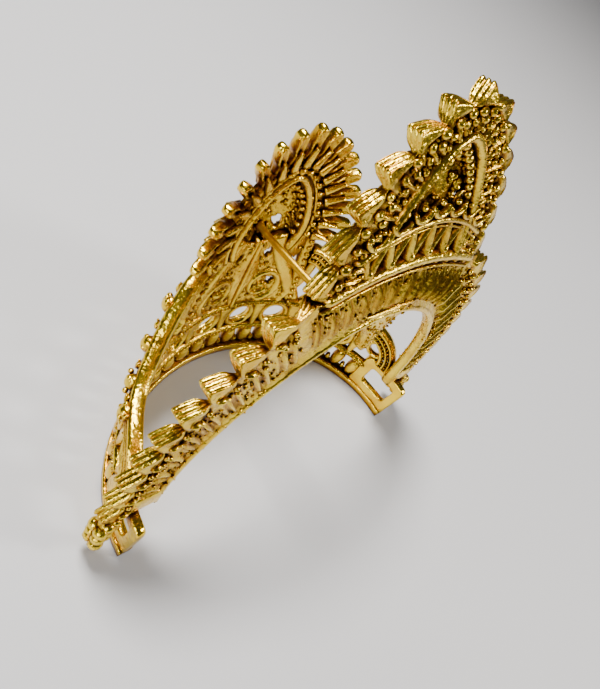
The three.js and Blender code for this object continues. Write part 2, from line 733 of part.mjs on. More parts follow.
// The origin moves to the point under the middle of the crown's box, by a whole number of hundredths.
const crownBox = new THREE.Box3().setFromObject(crown);
crown.position.y = -Math.round((crownBox.min.y + crownBox.max.y) * 50) / 100;

export default crown;
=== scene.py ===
"""A small gilt brass crown for a deity figure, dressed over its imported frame.

Each of the three cast pieces is modelled here in full relief and stands for its plain solid.
Lengths below are in millimetres and are turned into metres where a point is placed.
"""
import math
import random

import bpy
import bmesh
from mathutils import Matrix, Vector


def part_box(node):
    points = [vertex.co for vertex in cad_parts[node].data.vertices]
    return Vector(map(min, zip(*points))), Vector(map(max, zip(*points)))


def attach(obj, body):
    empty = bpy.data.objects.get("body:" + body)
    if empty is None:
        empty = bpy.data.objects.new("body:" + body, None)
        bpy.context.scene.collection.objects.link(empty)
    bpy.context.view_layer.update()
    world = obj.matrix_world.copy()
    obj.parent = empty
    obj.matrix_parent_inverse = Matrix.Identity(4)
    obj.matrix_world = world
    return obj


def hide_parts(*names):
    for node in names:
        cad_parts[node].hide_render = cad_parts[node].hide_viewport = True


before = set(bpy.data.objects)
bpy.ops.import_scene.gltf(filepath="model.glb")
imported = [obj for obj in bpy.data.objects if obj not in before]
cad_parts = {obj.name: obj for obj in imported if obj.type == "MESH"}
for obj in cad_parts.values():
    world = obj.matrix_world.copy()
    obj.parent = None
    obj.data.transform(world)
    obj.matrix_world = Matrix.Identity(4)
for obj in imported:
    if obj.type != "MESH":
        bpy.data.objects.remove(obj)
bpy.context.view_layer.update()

MM = 0.001
# The shapes are worked out from the line between the band's two ends, which is this far back.
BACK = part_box("front_band")[1][1] / MM

# Band and wall, as in the frame
BAND_HALF_WIDTH = 32
BAND_DEPTH = 27.8
WALL_FLARE = 0.0056
LEAF_CURL = 0.00014
CURL_Z = 32
WALL_THICK = 1.6
FOOT_RAIL_HIGH = 1.7
BEAD_RAIL_Z = 7.3
PETAL_RAIL_Z = 14.4
WALL_TOP_Z = 17.4
SHOULDER_Z = 25.5
TAB_HIGH = 10.8
TAB_LONG = 11
SLOT_LONG = 6.6
SLOT_HIGH = 4.9
SLOT_Z = 6.2
SLOT_MIDDLE = 0.53
PETAL_PITCH = 3.9
DROP_PITCH = 8
LOOP_LONG = 13.6
LOOP_FOOT = 7.4
LOOP_RING_RADIUS = 1.9
LOOP_SHARE = 0.28
SHOULDER_START = 12.5
FALL_SHARE = 0.8
PETAL_RADIUS = 1.45
DROP_RING_RADIUS = 2.75
KNOBS_A_SIDE = 4
KNOB_STEP = 0.215
KNOB_RADIUS = 1.4
SMALL_KNOB_RADIUS = 0.7
KNOB_OUT = 1.3
SCROLLS_A_SIDE = 4
SCROLL_PITCH = 5.4
CURL_AT = (5.2, PETAL_RAIL_Z + 5)
CURL_RADIUS = 4.4

# Front leaf
LEAF_Z = 33.6
LEAF_HALF_WIDTH = 17
LEAF_RISE = 20.6
LEAF_RIM_HALF = 7.4
LEAF_RIM_RISE = 11.4
LEAF_POINT = 1.8
LEAF_RIM_POINT = 1.6
LEAF_RIM_FOOT_TURN = 0.5
HOLLOW_FOOT_TURN = -0.4
HOLLOW_DEEP = 2.6
HOLLOW_THICK = 0.9
HOLE_RADIUS = 1.05
HOLLOW_HOLES = ((0, LEAF_Z + 6), (3.6, LEAF_Z - 0.6), (-3.6, LEAF_Z - 0.6))
FINGER_LONG = 6
FINGER_PITCH = 3.85
FINGERS_A_SIDE = 8
# Beads below each finger: how far in from its tip, as shares of its length, and radius.
FINGER_BEADS = ((1.32, 0.7), (1.6, 0.62), (1.84, 0.5))
COLLAR_FOOT_TURN = 0.55
COLLAR_STEPS = 60
# The collar's cross-section: shares of the way from the hollow's rim to the fingers, and out.
COLLAR_SECTION = ((0, 0.8), (0.5, 0.7), (1.05, 0.6), (1.05, -0.6), (0.5, -0.7), (0, -0.8))

# The thin ground of the wall under the leaf: half widths at its foot and top, its height, and its
# piercings on each side as across and up.
GROUND_HALF = (11.6, 8.6)
GROUND_TOP = LEAF_Z - 3
GROUND_HOLES = ((3.4, 27.6), (9.1, 27.2), (6.8, 20.3))

# The two leaves under the big leaf: the curl's middle and swing across, the outer bar's foot and head.
FOOT_CURL = (9.8, 6.15)
FOOT_BAR = (13.4, 10.6)

# Rear arch
ARCH_SETBACK = 3.2
ARCH_LEAN = 0.117
CREST_LEAN = 0.27
BEND_Z = 45.4
BEND_SOFT = 5
ARCH_FOOT_Z = TAB_HIGH + 0.3
INNER_HALF = 28.3
INNER_RISE = 33.6
OUTER_HALF = 37.2
OUTER_RISE = 48
OUTER_Z = 9.6
OUTER_ROUND = 2.3
WING_RAYS = 11
WING_START = 22
LEVEL_TURN = 1.06
UPPER_PLACES = 60
UPPER_RAY = 10
TOOTH_PITCH = 5.15
TOOTH_LONG = 3.2
TOOTH_THICK = 2.2
TOOTH_FORWARD = 0.6
WING_PEAK = 0.72
FOOT_INSIDE = BAND_HALF_WIDTH + WALL_THICK + 0.3
TAIL_TEETH = 3
TAIL_ROOT_Z = 9
TAIL_TIP_Z = 2.6
TAIL_NECK = 0.62
# Domes on each tail tooth: how far along it they stand, and their radius.
TAIL_DOMES = ((0.8, 1.25), (0.48, 1.05), (0.16, 0.8))
PENDANT_TIP_Z = 36.8
PENDANT_WIDE = 15
SOLDER_PAD_HIGH = 4.4

# Crest
CREST_Z = 51.6
CREST_HALF = 18.5
CREST_RISE = 23.5
CREST_TOOTH_LONG = 2.4
CREST_PEAK = 0.85
CREST_RIM_HALF = 9.8
CREST_RIM_RISE = 16.8
CREST_RIM_Z = CREST_Z + 1
CREST_POINT = 1.8
CREST_RIM_POINT = 1.7
CREST_RAYS_A_SIDE = 6
# The crest's two base rails: half length, height at the ends, and how far they bow up in the middle.
LOW_RAIL = (16.5, 50.8, 2.6)
HIGH_RAIL = (13.6, 55.4, 3.8)
RAIL_STRUTS = 6
STRUTS_HALF = 12
CREST_FOOT_TURN = 0.36
CREST_DEEP = 1.8
CREST_HOLE = (5.4, 60.8)
# The bare pointed field in the crest's hollow: its foot and tip, across and up.
FIELD_FOOT = (6.4, 60.5)
FIELD_TIP = (0.2, 68.2)
# The loops over the high rail: half width, depth, and how far their middle is above it.
RAIL_LOOP = (1.75, 1.5, 2.2)
# Lumps under each crest tooth: place across its ray, place out from the rim, and radius.
CREST_BLOBS = (
    (0.1, 0.62, 0.75),
    (0.6, 0.58, 0.7),
    (0.3, 0.42, 0.65),
    (0.8, 0.36, 0.6),
    (0.05, 0.2, 0.5),
    (0.55, 0.16, 0.5),
)

# Rod
ROD_FRONT_Z = 32.4
ROD_FRONT_RISE = 0.12
ROD_REAR_Z = 38.6
ROD_FRONT_RADIUS = 0.55
ROD_REAR_RADIUS = 0.75
ROD_BOW = 0.35
ROD_STEPS = 40
ROD_SIDES = 20

# How many grains of the casting lie on each ground, how far they keep from the piercings, and the
# seeds of their places
GRAIN_CLEAR = 1.5
GROUND_GRAIN_CLEAR = 1.4
WING_GRAINS = 340
UPPER_GRAINS = 180
CREST_GRAINS = 340
CREST_LUMPS = 210
RIM_GRAINS = 340
PENDANT_GRAINS = 170
COLLAR_GRAINS = 260
HOLLOW_GRAINS = 320
GROUND_GRAINS = 420
ARCH_SEED = 11
BAND_SEED = 7

SIDES = (-1, 1)


def mix(a, b, t):
    return a + (b - a) * t


def blend(p, q, t):
    return (mix(p[0], q[0], t), mix(p[1], q[1], t))


def smooth(low, high, value):
    t = min(1, max(0, (value - low) / (high - low)))
    return t * t * (3 - 2 * t)


def hump(value, centre, half):
    """A smooth rise from 0 to 1 and back, one at the centre."""
    t = abs(value - centre) / half
    return 0 if t >= 1 else (1 - t * t) ** 2


# Surfaces that the ornament lies on

OVAL_STEPS = 480
oval = [0.0]
for step in range(1, OVAL_STEPS + 1):
    turn = (step - 0.5) / OVAL_STEPS * math.pi / 2
    speed = math.hypot(BAND_HALF_WIDTH * math.cos(turn), BAND_DEPTH * math.sin(turn))
    oval.append(oval[-1] + speed * math.pi / 2 / OVAL_STEPS)
BAND_END = oval[-1]


def oval_turn(along):
    far = min(abs(along), BAND_END)
    step = min(OVAL_STEPS - 1, int(far / BAND_END * OVAL_STEPS))
    while step > 0 and oval[step] > far:
        step -= 1
    while step < OVAL_STEPS - 1 and oval[step + 1] < far:
        step += 1
    part = (far - oval[step]) / (oval[step + 1] - oval[step])
    return math.copysign((step + part) * math.pi / 2 / OVAL_STEPS, along)


def wall(along, up, out):
    """A point of the front wall: along the oval, up, and out from the middle of its thickness."""
    turn = oval_turn(along)
    nx, ny = BAND_DEPTH * math.sin(turn), -BAND_HALF_WIDTH * math.cos(turn)
    length = math.hypot(nx, ny)
    x = BAND_HALF_WIDTH * math.sin(turn) + nx / length * out
    flare = 1 + WALL_FLARE * up - LEAF_CURL * max(0, up - CURL_Z) ** 2
    y = -BAND_DEPTH * math.cos(turn) * flare + ny / length * out
    return Vector((x, y + BACK, up)) * MM


def arch(across, up, out):
    """A point of the rear arch: across, up, and forward from the middle of its thickness."""
    past = up - BEND_Z
    root = math.sqrt(past * past + BEND_SOFT * BEND_SOFT)
    bent = (past + root) / 2
    forward = ARCH_SETBACK + ARCH_LEAN * up + CREST_LEAN * bent
    slope = ARCH_LEAN + CREST_LEAN * bent / root
    length = math.hypot(1, slope)
    return Vector((across, BACK - forward - out / length, up - out * slope / length)) * MM


def outline(half, rise, base, power):
    """An arch, rounded or pointed: turn 0 is its right foot and pi its left foot."""
    def at(turn):
        c, s = math.cos(turn), math.sin(turn)
        across = math.copysign(half * abs(c) ** (2 / power), c)
        return (across, base + math.copysign(rise * abs(s) ** (2 / power), s))
    return at


def even_turns(path, pitch, count, start):
    """Turns that are an even distance apart along an outline, from its middle down to one side."""
    turns, turn, walked, wanted = [], math.pi / 2, 0.0, start
    last = path(turn)
    while len(turns) < count and turn > -math.pi / 2:
        turn -= 0.002
        point = path(turn)
        walked += math.dist(point, last)
        last = point
        if walked >= wanted:
            turns.append(turn)
            wanted += pitch
    return turns


# Mesh building

POLE_GAP = 0.04
BEAD_PLACES = 400
RING_STEPS = 28
RING_SIDES = 8


class Shell:
    """Closed surfaces gathered into one mesh."""

    def __init__(self):
        self.points = []
        self.faces = []

    def loft(self, rings):
        """Joins rings of equal length, end to end, and closes both ends."""
        first, size = len(self.points), len(rings[0])
        for ring in rings:
            self.points.extend(ring)
        for index in range(len(rings) - 1):
            row = first + index * size
            for k in range(size):
                n = (k + 1) % size
                self.faces.append((row + k, row + n, row + size + n, row + size + k))
        last = first + (len(rings) - 1) * size
        self.faces.append(tuple(range(first + size - 1, first - 1, -1)))
        self.faces.append(tuple(range(last, last + size)))

    def bar(self, surface, path, wide, thick, out=0.0, steps=12, box=0.8, sides=10, blunt=0.0, grooves=0,
            cup=0.0):
        """A bar along a path. box 1 is a round section and 0 a square one; blunt rounds off its ends.

        grooves run along it, and cup hollows out the middle of both faces towards its far end.
        """
        width = wide if callable(wide) else lambda t: wide
        depth = thick if callable(thick) else lambda t: thick
        lift = out if callable(out) else lambda t: out
        stops = [index / steps for index in range(steps + 1)]
        if blunt:
            extra = [blunt * k for k in (0.12, 0.35, 0.65)]
            stops = sorted(set(stops + extra + [1 - k for k in extra]))
        rings = []
        reach = 0.5 / steps
        for t in stops:
            before, here, after = path(max(0, t - reach)), path(t), path(min(1, t + reach))
            dx, dy = after[0] - before[0], after[1] - before[1]
            length = math.hypot(dx, dy) or 1
            dx, dy = dx / length, dy / length
            edge = min(t, 1 - t)
            size = 1.0
            if blunt and edge < blunt:
                size = max(0.22, math.sqrt(1 - (1 - edge / blunt) ** 2))
            ring = []
            for k in range(sides):
                angle = 2 * math.pi * (k + 0.5) / sides
                c, s = math.cos(angle), math.sin(angle)
                a = math.copysign(abs(c) ** box, c) * width(t) / 2 * size
                b = math.copysign(abs(s) ** box, s) * depth(t) / 2 * size
                if cup:
                    along = smooth(0.35, 0.6, t) * (1 - smooth(0.88, 0.97, t))
                    b *= 1 - cup * hump(a / width(t), 0, 0.42) * along
                if grooves:
                    b *= 1 - 0.28 * (0.5 + 0.5 * math.cos(grooves * math.pi * 2 * (0.5 + a / width(t))))
                ring.append(surface(here[0] - dy * a, here[1] + dx * a, lift(t) + b))
            rings.append(ring)
        self.loft(rings)

    def ball(self, surface, at, radius, out=0.0, squash=(1, 1, 1), rows=6):
        """A bead on a surface. squash stretches it across, up and out."""
        centre = surface(at[0], at[1], out)
        right = (surface(at[0] + 0.5, at[1], out) - centre).normalized()
        away = (surface(at[0], at[1], out + 0.5) - centre).normalized()
        up = away.cross(right).normalized()
        rings = []
        for row in range(rows + 1):
            tilt = math.pi * (POLE_GAP + (1 - 2 * POLE_GAP) * row / rows)
            ring = []
            for k in range(rows + 4):
                angle = 2 * math.pi * k / (rows + 4)
                x = math.sin(tilt) * math.cos(angle) * squash[0]
                y = math.sin(tilt) * math.sin(angle) * squash[1]
                z = math.cos(tilt) * squash[2]
                ring.append(centre + (right * x + up * y + away * z) * radius * MM)
            rings.append(ring)
        self.loft(rings)

    def ring(self, surface, at, radius, tube, out=0.0, deep=1.0):
        """A closed ring that lies in a surface."""
        first = len(self.points)
        for k in range(RING_STEPS):
            angle = 2 * math.pi * k / RING_STEPS
            c, s = math.cos(angle), math.sin(angle)
            for j in range(RING_SIDES):
                turn = 2 * math.pi * j / RING_SIDES
                size = radius + tube * math.cos(turn)
                lift = out + tube * deep * math.sin(turn)
                self.points.append(surface(at[0] + size * c, at[1] + size * s, lift))
        for k in range(RING_STEPS):
            for j in range(RING_SIDES):
                a = first + k * RING_SIDES
                b = first + (k + 1) % RING_STEPS * RING_SIDES
                n = (j + 1) % RING_SIDES
                self.faces.append((a + j, b + j, b + n, a + n))

    def beads(self, surface, path, radius, pitch, out=0.0, squash=(1, 1, 1), rows=4):
        """A row of beads along a path, an even distance apart."""
        fine = [path(index / BEAD_PLACES) for index in range(BEAD_PLACES + 1)]
        walked = [0.0]
        for a, b in zip(fine, fine[1:]):
            walked.append(walked[-1] + math.dist(a, b))
        count = max(1, int(walked[-1] / pitch))
        for index in range(count + 1):
            want = walked[-1] * index / count
            place = min(range(BEAD_PLACES + 1), key=lambda k: abs(walked[k] - want))
            self.ball(surface, fine[place], radius, out, squash, rows)

    def piece(self, name, material):
        """Makes the mesh object, with every closed surface facing out."""
        mesh = bpy.data.meshes.new(name)
        mesh.from_pydata([tuple(p) for p in self.points], [], self.faces)
        mesh.validate()
        work = bmesh.new()
        work.from_mesh(mesh)
        bmesh.ops.recalc_face_normals(work, faces=work.faces)
        work.to_mesh(mesh)
        work.free()
        for face in mesh.polygons:
            face.use_smooth = True
        piece = bpy.data.objects.new(name, mesh)
        bpy.context.scene.collection.objects.link(piece)
        mesh.materials.append(material)
        return piece


def line(a, b):
    return lambda t: blend(a, b, t)


def flipped(path, side):
    return lambda t: (side * path(t)[0], path(t)[1])


def scroll(centre, radius, start, turns):
    """A spiral that starts wide and winds in."""
    def at(t):
        angle = start + turns * 2 * math.pi * t
        size = radius * (1 - 0.62 * t)
        return (centre[0] + size * math.cos(angle), centre[1] + size * math.sin(angle))
    return at


def arc(points):
    """A smooth curve through a few points."""
    count = len(points) - 1

    def at(t):
        place = min(count - 1e-6, max(0, t * count))
        k = int(place)
        f = place - k
        p = [points[min(count, max(0, k + j))] for j in (-1, 0, 1, 2)]
        out = []
        for axis in (0, 1):
            a, b, c, d = (q[axis] for q in p)
            square = (2 * a - 5 * b + 4 * c - d) * f * f
            cube = (3 * b - 3 * c + d - a) * f ** 3
            out.append(0.5 * (2 * b + (c - a) * f + square + cube))
        return tuple(out)
    return at


# Fans of rays that end in saw teeth

# Places from the inner edge past the necks of the teeth to their outer faces.
NECK = 0.7
RAY_ROWS = (0, 0.04, 0.09, 0.14, 0.2, 0.28, 0.36, 0.45, 0.52, 0.59, 0.64, 0.69, 0.73, 0.8, 0.9, 0.98)
# Three lobes run along a tooth's outer faces: shares of its half thickness, and how far each place is sunk.
LOBES = ((0.96, 0.55), (0.86, 0.12), (0.7, 0), (0.52, 0.1), (0.42, 0.6), (0.3, 0.6), (0.18, 0.1), (0, 0))
LOBE_DEEP = 0.5
RAY_STEPS = 16


def tooth_reach(q, peak):
    """How far out a saw tooth's outer face stands at a place across its ray, from 0 to 1."""
    t = q / peak if q < peak else (1 - q) / (1 - peak)
    return 0.06 + 0.94 * min(1, 1.06 * t) ** 0.9


def ray_relief(v, q, peak, face):
    """Half thickness of a rayed plate in millimetres. The back, face -1, has the crisper bars."""
    crisp = 1.0 if face < 0 else 0.75
    ground = 0.36 + 0.06 * math.sin(23 * v + 9 * q)
    bars = hump(q, 0.28, 0.13) + 1.15 * hump(q, 0.62, 0.11) + 0.5 * hump(q, 0.88, 0.09)
    body = smooth(0.1, 0.17, v) * (1 - smooth(0.46, 0.56, v))
    shell = hump(q, peak, 0.36) * hump(v, 0.66, 0.1)
    block = smooth(0.05, 0.45, tooth_reach(q, peak)) * smooth(NECK - 0.01, NECK + 0.05, v)
    rim = 1 - smooth(0.03, 0.1, v)
    relief = crisp * (0.68 * bars * body + 0.5 * shell)
    return ground + relief + (TOOTH_THICK / 2 - ground) * block + 0.45 * rim


def ray_ring(surface, low, neck, tip, q, peak):
    """The cross-section of a rayed plate at one place across a ray."""
    length = math.dist(neck, tip) or 1
    far = tooth_reach(q, peak)

    def place(v, sunk=0.0):
        if v <= NECK:
            return blend(low, neck, v / NECK)
        return blend(neck, tip, (v - NECK) / (1 - NECK) * far - sunk * far / length)

    def forward(v):
        return TOOTH_FORWARD * smooth(NECK - 0.15, 0.9, v) * far

    ring = [surface(*place(v), forward(v) + ray_relief(v, q, peak, 1)) for v in RAY_ROWS]
    half = ray_relief(1, q, peak, 1)
    lobes = list(LOBES) + [(-share, sunk) for share, sunk in reversed(LOBES[:-1])]
    for share, sunk in lobes:
        ring.append(surface(*place(1, sunk * LOBE_DEEP), forward(1) + half * share))
    ring += [surface(*place(v), forward(v) - ray_relief(v, q, peak, -1)) for v in reversed(RAY_ROWS)]
    return ring


def ray_places(peak):
    """Places across one ray, with one right at the tip of its tooth."""
    rise = max(2, round(RAY_STEPS * peak))
    fall = max(2, RAY_STEPS - rise)
    return [peak * k / rise for k in range(rise)] + [peak + (1 - peak) * k / fall for k in range(fall)]


def strew(shell, surface, source, inner, base, turns, count, reach=(0.1, 0.6), size=(0.16, 0.34)):
    """Grains strewn over both faces of a rayed plate."""
    for _ in range(count):
        turn = source.uniform(min(turns), max(turns))
        at = blend(inner(turn), base(turn), source.uniform(*reach) / NECK)
        face = source.choice(SIDES)
        squash = [source.uniform(0.7, 1.5), source.uniform(0.7, 1.3), source.uniform(0.8, 1.3)]
        shell.ball(surface, at, source.uniform(*size), face * 0.5, squash, rows=2)


def shells(shell, surface, flip, inner, base, a, b, peak):
    """A little shell of two leaves under a tooth, with two beads beside it, on both faces."""
    for q, v, radius, squash in (
        (peak, 0.66, 0.62, (1.7, 0.8, 1)),
        (peak - 0.12, 0.58, 0.5, (1.5, 0.8, 1)),
        (peak - 0.5, 0.64, 0.48, (1, 1, 1)),
        (peak - 0.46, 0.52, 0.4, (1.2, 1, 1)),
    ):
        turn = mix(a, b, q)
        at = blend(inner(turn), base(turn), v / NECK)
        for out in SIDES:
            shell.ball(surface, flip(at), radius, out * 0.65, squash, 4)


def wing(shell, side, source):
    """Half of the arch plate: the part under the crest's rail, the toothed rays, then the tail."""
    inner = outline(INNER_HALF, INNER_RISE, ARCH_FOOT_Z, 2)
    tips = outline(OUTER_HALF, OUTER_RISE, OUTER_Z, OUTER_ROUND)
    base = outline(OUTER_HALF - TOOTH_LONG, OUTER_RISE - TOOTH_LONG, OUTER_Z, OUTER_ROUND)

    def flip(point):
        return (side * point[0], point[1])

    def under_rail(turn):
        across = base(turn)[0]
        return (across, rail_up(LOW_RAIL, across))

    rings = []
    for index in range(UPPER_PLACES):
        turn = mix(math.pi / 2, LEVEL_TURN, index / UPPER_PLACES)
        high = under_rail(turn)
        q = (index % UPPER_RAY) / UPPER_RAY
        tip = flip((high[0], high[1] + 0.1))
        rings.append(ray_ring(arch, flip(inner(turn)), flip(high), tip, q, WING_PEAK))
    turns = [turn for turn in even_turns(tips, TOOTH_PITCH, WING_RAYS, WING_START) if turn > 0]
    for a, b in zip(turns, turns[1:]):
        for q in ray_places(WING_PEAK):
            turn = mix(a, b, q)
            rings.append(ray_ring(arch, flip(inner(turn)), flip(base(turn)), flip(tips(turn)), q, WING_PEAK))
        shells(shell, arch, flip, inner, base, a, b, WING_PEAK)
    top = tips(turns[-1])[1]

    def tail_line(down, half):
        root = (FOOT_INSIDE, mix(ARCH_FOOT_Z, TAIL_ROOT_Z, down))
        return root, (half, mix(top, TAIL_TIP_Z, down))

    for index in range(TAIL_TEETH):
        for q in ray_places(WING_PEAK):
            down = (index + q) / TAIL_TEETH
            root, tip = tail_line(down, OUTER_HALF + 0.2)
            neck = blend(root, tip, TAIL_NECK)
            rings.append(ray_ring(arch, flip(root), flip(neck), flip(tip), q, WING_PEAK))
        root, tip = tail_line((index + WING_PEAK) / TAIL_TEETH, OUTER_HALF)
        for share, radius in TAIL_DOMES:
            for out in SIDES:
                shell.ball(arch, flip(blend(root, tip, share)), radius, out * 0.75, (1, 0.85, 0.9), 6)
    shell.loft(rings)
    strew(shell, arch, source, lambda t: flip(inner(t)), lambda t: flip(base(t)), turns, WING_GRAINS)
    upper = (math.pi / 2, LEVEL_TURN)
    strew(shell, arch, source, lambda t: flip(inner(t)), lambda t: flip(under_rail(t)), upper, UPPER_GRAINS)


def crest_fan(shell, source):
    """The crest's fan of toothed rays, one of them upright, with lumps on both faces."""
    tips = outline(CREST_HALF, CREST_RISE, CREST_Z, CREST_POINT)
    base = outline(CREST_HALF - CREST_TOOTH_LONG, CREST_RISE - CREST_TOOTH_LONG, CREST_Z, CREST_POINT)
    inner = outline(CREST_RIM_HALF, CREST_RIM_RISE, CREST_RIM_Z, CREST_RIM_POINT)
    pitch = TOOTH_PITCH * 0.98
    right = even_turns(tips, pitch, CREST_RAYS_A_SIDE + 1, pitch / 2)
    marks = [math.pi - turn for turn in reversed(right)] + right
    rings = []
    for index, (a, b) in enumerate(zip(marks, marks[1:])):
        if index == CREST_RAYS_A_SIDE:
            peak = 0.5
        else:
            peak = CREST_PEAK if index > CREST_RAYS_A_SIDE else 1 - CREST_PEAK
        for q in ray_places(peak):
            turn = mix(a, b, q)
            rings.append(ray_ring(arch, inner(turn), base(turn), tips(turn), q, peak))
        for q, v, radius in CREST_BLOBS:
            turn = mix(a, b, q)
            at = blend(inner(turn), base(turn), v / NECK)
            for out in SIDES:
                squash = [source.uniform(0.8, 1.4), source.uniform(0.8, 1.2), source.uniform(0.7, 1)]
                shell.ball(arch, at, radius, out * 0.6, squash, 4)
    rings.append(ray_ring(arch, inner(marks[-1]), base(marks[-1]), tips(marks[-1]), 0, CREST_PEAK))
    shell.loft(rings)
    strew(shell, arch, source, inner, base, marks, CREST_GRAINS, (0.03, 0.66), (0.2, 0.45))


def rail_up(rail, across):
    """The height of one of the crest's base rails at a place across."""
    half, up, rise = rail
    return up + rise * (1 - min(1, (across / half) ** 2))


def rail_path(rail, lift=0.0):
    def at(t):
        across = mix(-rail[0], rail[0], t)
        return (across, rail_up(rail, across) + lift)
    return at


def crest_rails(shell):
    """Two bowed rails with slanting struts between them and a row of loops over them."""
    for rail, lift, wide, thick, box in (
        (LOW_RAIL, 0, 1.5, 2.7, 0.7),
        (LOW_RAIL, -1.5, 0.6, 2.0, 0.8),
        (HIGH_RAIL, 0, 1.0, 2.7, 0.8),
        (HIGH_RAIL, -0.9, 0.5, 2.1, 0.8),
    ):
        shell.bar(arch, rail_path(rail, lift), wide, thick, steps=50, box=box, blunt=0.03)

    def place(index):
        return mix(-STRUTS_HALF, STRUTS_HALF, index / RAIL_STRUTS)

    for index in range(RAIL_STRUTS):
        across = place(index + 0.5)
        foot = (across, rail_up(LOW_RAIL, across))
        for end in (place(index), place(index + 1)):
            head = (end, rail_up(HIGH_RAIL, end))
            bend = (mix(across, end, 0.36), mix(foot[1], head[1], 0.5))
            shell.bar(arch, arc([foot, bend, head]), lambda t: mix(1.7, 1.1, t), 2.1, steps=12, box=0.9)
        for out in SIDES:
            shell.ball(arch, (across, foot[1] + 1.2), 0.6, out * 0.7, (1, 1.2, 1), 5)
    for index in range(RAIL_STRUTS + 1):
        across = place(index) * 0.94
        up = rail_up(HIGH_RAIL, across)

        def loop(t, a=across, u=up):
            turn = math.pi * (1.04 + 0.92 * t)
            half, deep, lift = RAIL_LOOP
            return (a + half * math.cos(turn), u + lift + deep * math.sin(turn))

        for out in SIDES:
            shell.bar(arch, loop, 0.7, 1.1, out * 0.85, steps=18, blunt=0.1)
            shell.ball(arch, (across, up + 2.3), 0.55, out * 0.7, (1.2, 0.8, 0.8), 4)


def clear_of(holes, at, distance):
    """Whether a place is more than a distance away from the middle of every piercing."""
    return all(math.dist(at, hole) > distance for hole in holes)


def crest_bulge(across, rise):
    return 0.2 + CREST_DEEP * (1 - across * across) * math.sqrt(max(0, math.sin(math.pi * rise)))


def field_edge(t):
    return (mix(FIELD_FOOT[0], FIELD_TIP[0], t ** 1.6), mix(FIELD_FOOT[1], FIELD_TIP[1], t))


def crest_inside(shell, source):
    """The pointed hollow of the crest, strewn with lumps round a bare pointed field."""
    rim = outline(CREST_RIM_HALF, CREST_RIM_RISE, CREST_RIM_Z, CREST_RIM_POINT)
    shell.bar(arch, lambda t: rim(math.pi * t), 1.5, 2.6, steps=60, box=0.9)
    holes = [(side * CREST_HOLE[0], CREST_HOLE[1]) for side in SIDES]
    hollow_floor(shell, arch, rim, CREST_FOOT_TURN, crest_bulge, holes, (40, 32))
    for side in SIDES:
        shell.beads(arch, flipped(field_edge, side), 0.62, 1.15, -0.15, (1.1, 1, 1), 5)
        shell.ring(arch, (side * CREST_HOLE[0], CREST_HOLE[1]), 1.25, 0.35, 0.2)
    for _ in range(CREST_LUMPS):
        rise = source.uniform(0.05, 0.95)
        across = source.uniform(0.35, 0.95) * source.choice(SIDES)
        edge = rim(mix(CREST_FOOT_TURN, math.pi / 2, rise))
        at = (across * edge[0], edge[1])
        if clear_of(holes, at, GRAIN_CLEAR):
            squash = [source.uniform(0.8, 1.4), source.uniform(0.8, 1.2), source.uniform(0.7, 1)]
            out = crest_bulge(across, rise) - HOLLOW_THICK / 2
            shell.ball(arch, at, source.uniform(0.35, 0.7), out, squash, 3)


def hollow_floor(shell, surface, rim, foot, bulge_at, holes, cells_each_way):
    """The thin bulging floor of a hollow inside a rim, with small holes, as one closed surface."""
    rows, columns = cells_each_way
    grid = []
    for row in range(rows + 1):
        edge = rim(mix(foot, math.pi / 2 - 0.02, row / rows))
        grid.append([((column / columns * 2 - 1) * edge[0], edge[1]) for column in range(columns + 1)])
    cells = {}
    for row in range(rows):
        for column in range(columns):
            lower, upper = grid[row], grid[row + 1]
            corners = [lower[column], lower[column + 1], upper[column + 1], upper[column]]
            middle = (sum(c[0] for c in corners) / 4, sum(c[1] for c in corners) / 4)
            if clear_of(holes, middle, HOLE_RADIUS):
                cells[row, column] = corners
    number = {}

    def vertex(row, column, back):
        key = (row, column, back)
        if key not in number:
            number[key] = len(shell.points)
            rough = 0.16 * math.sin(row * 1.7) * math.sin(column * 2.1 + row)
            out = bulge_at(column / columns * 2 - 1, row / rows) + (-0.5 if back else 0.5) * HOLLOW_THICK
            shell.points.append(surface(*grid[row][column], out + rough))
        return number[key]

    for row, column in cells:
        square = [(row, column), (row, column + 1), (row + 1, column + 1), (row + 1, column)]
        shell.faces.append(tuple(vertex(r, c, False) for r, c in square))
        shell.faces.append(tuple(vertex(r, c, True) for r, c in reversed(square)))
        nearby = ((row - 1, column), (row, column + 1), (row + 1, column), (row, column - 1))
        for side, other in enumerate(nearby):
            if other not in cells:
                a, b = square[side], square[(side + 1) % 4]
                shell.faces.append((vertex(*b, False), vertex(*a, False), vertex(*a, True), vertex(*b, True)))


def pendant(shell, source):
    """A drop that hangs in the middle of the arch, strewn with grains."""
    top = ARCH_FOOT_Z + INNER_RISE + 1

    def wide(t):
        return mix(1.2, PENDANT_WIDE, t ** 2.1)

    shell.bar(arch, line((0, PENDANT_TIP_Z), (0, top)), wide, 1.9, steps=22, box=0.5, sides=14)
    shell.bar(arch, line((0, PENDANT_TIP_Z + 0.2), (0, PENDANT_TIP_Z + 4)), 1.3, 2.3, steps=8, blunt=0.2)
    for _ in range(PENDANT_GRAINS):
        t = source.uniform(0.05, 0.98)
        at = (source.uniform(-0.46, 0.46) * wide(t), mix(PENDANT_TIP_Z, top, t))
        shell.ball(arch, at, source.uniform(0.18, 0.4), source.choice(SIDES) * 0.9, (1, 1, 0.8), 2)


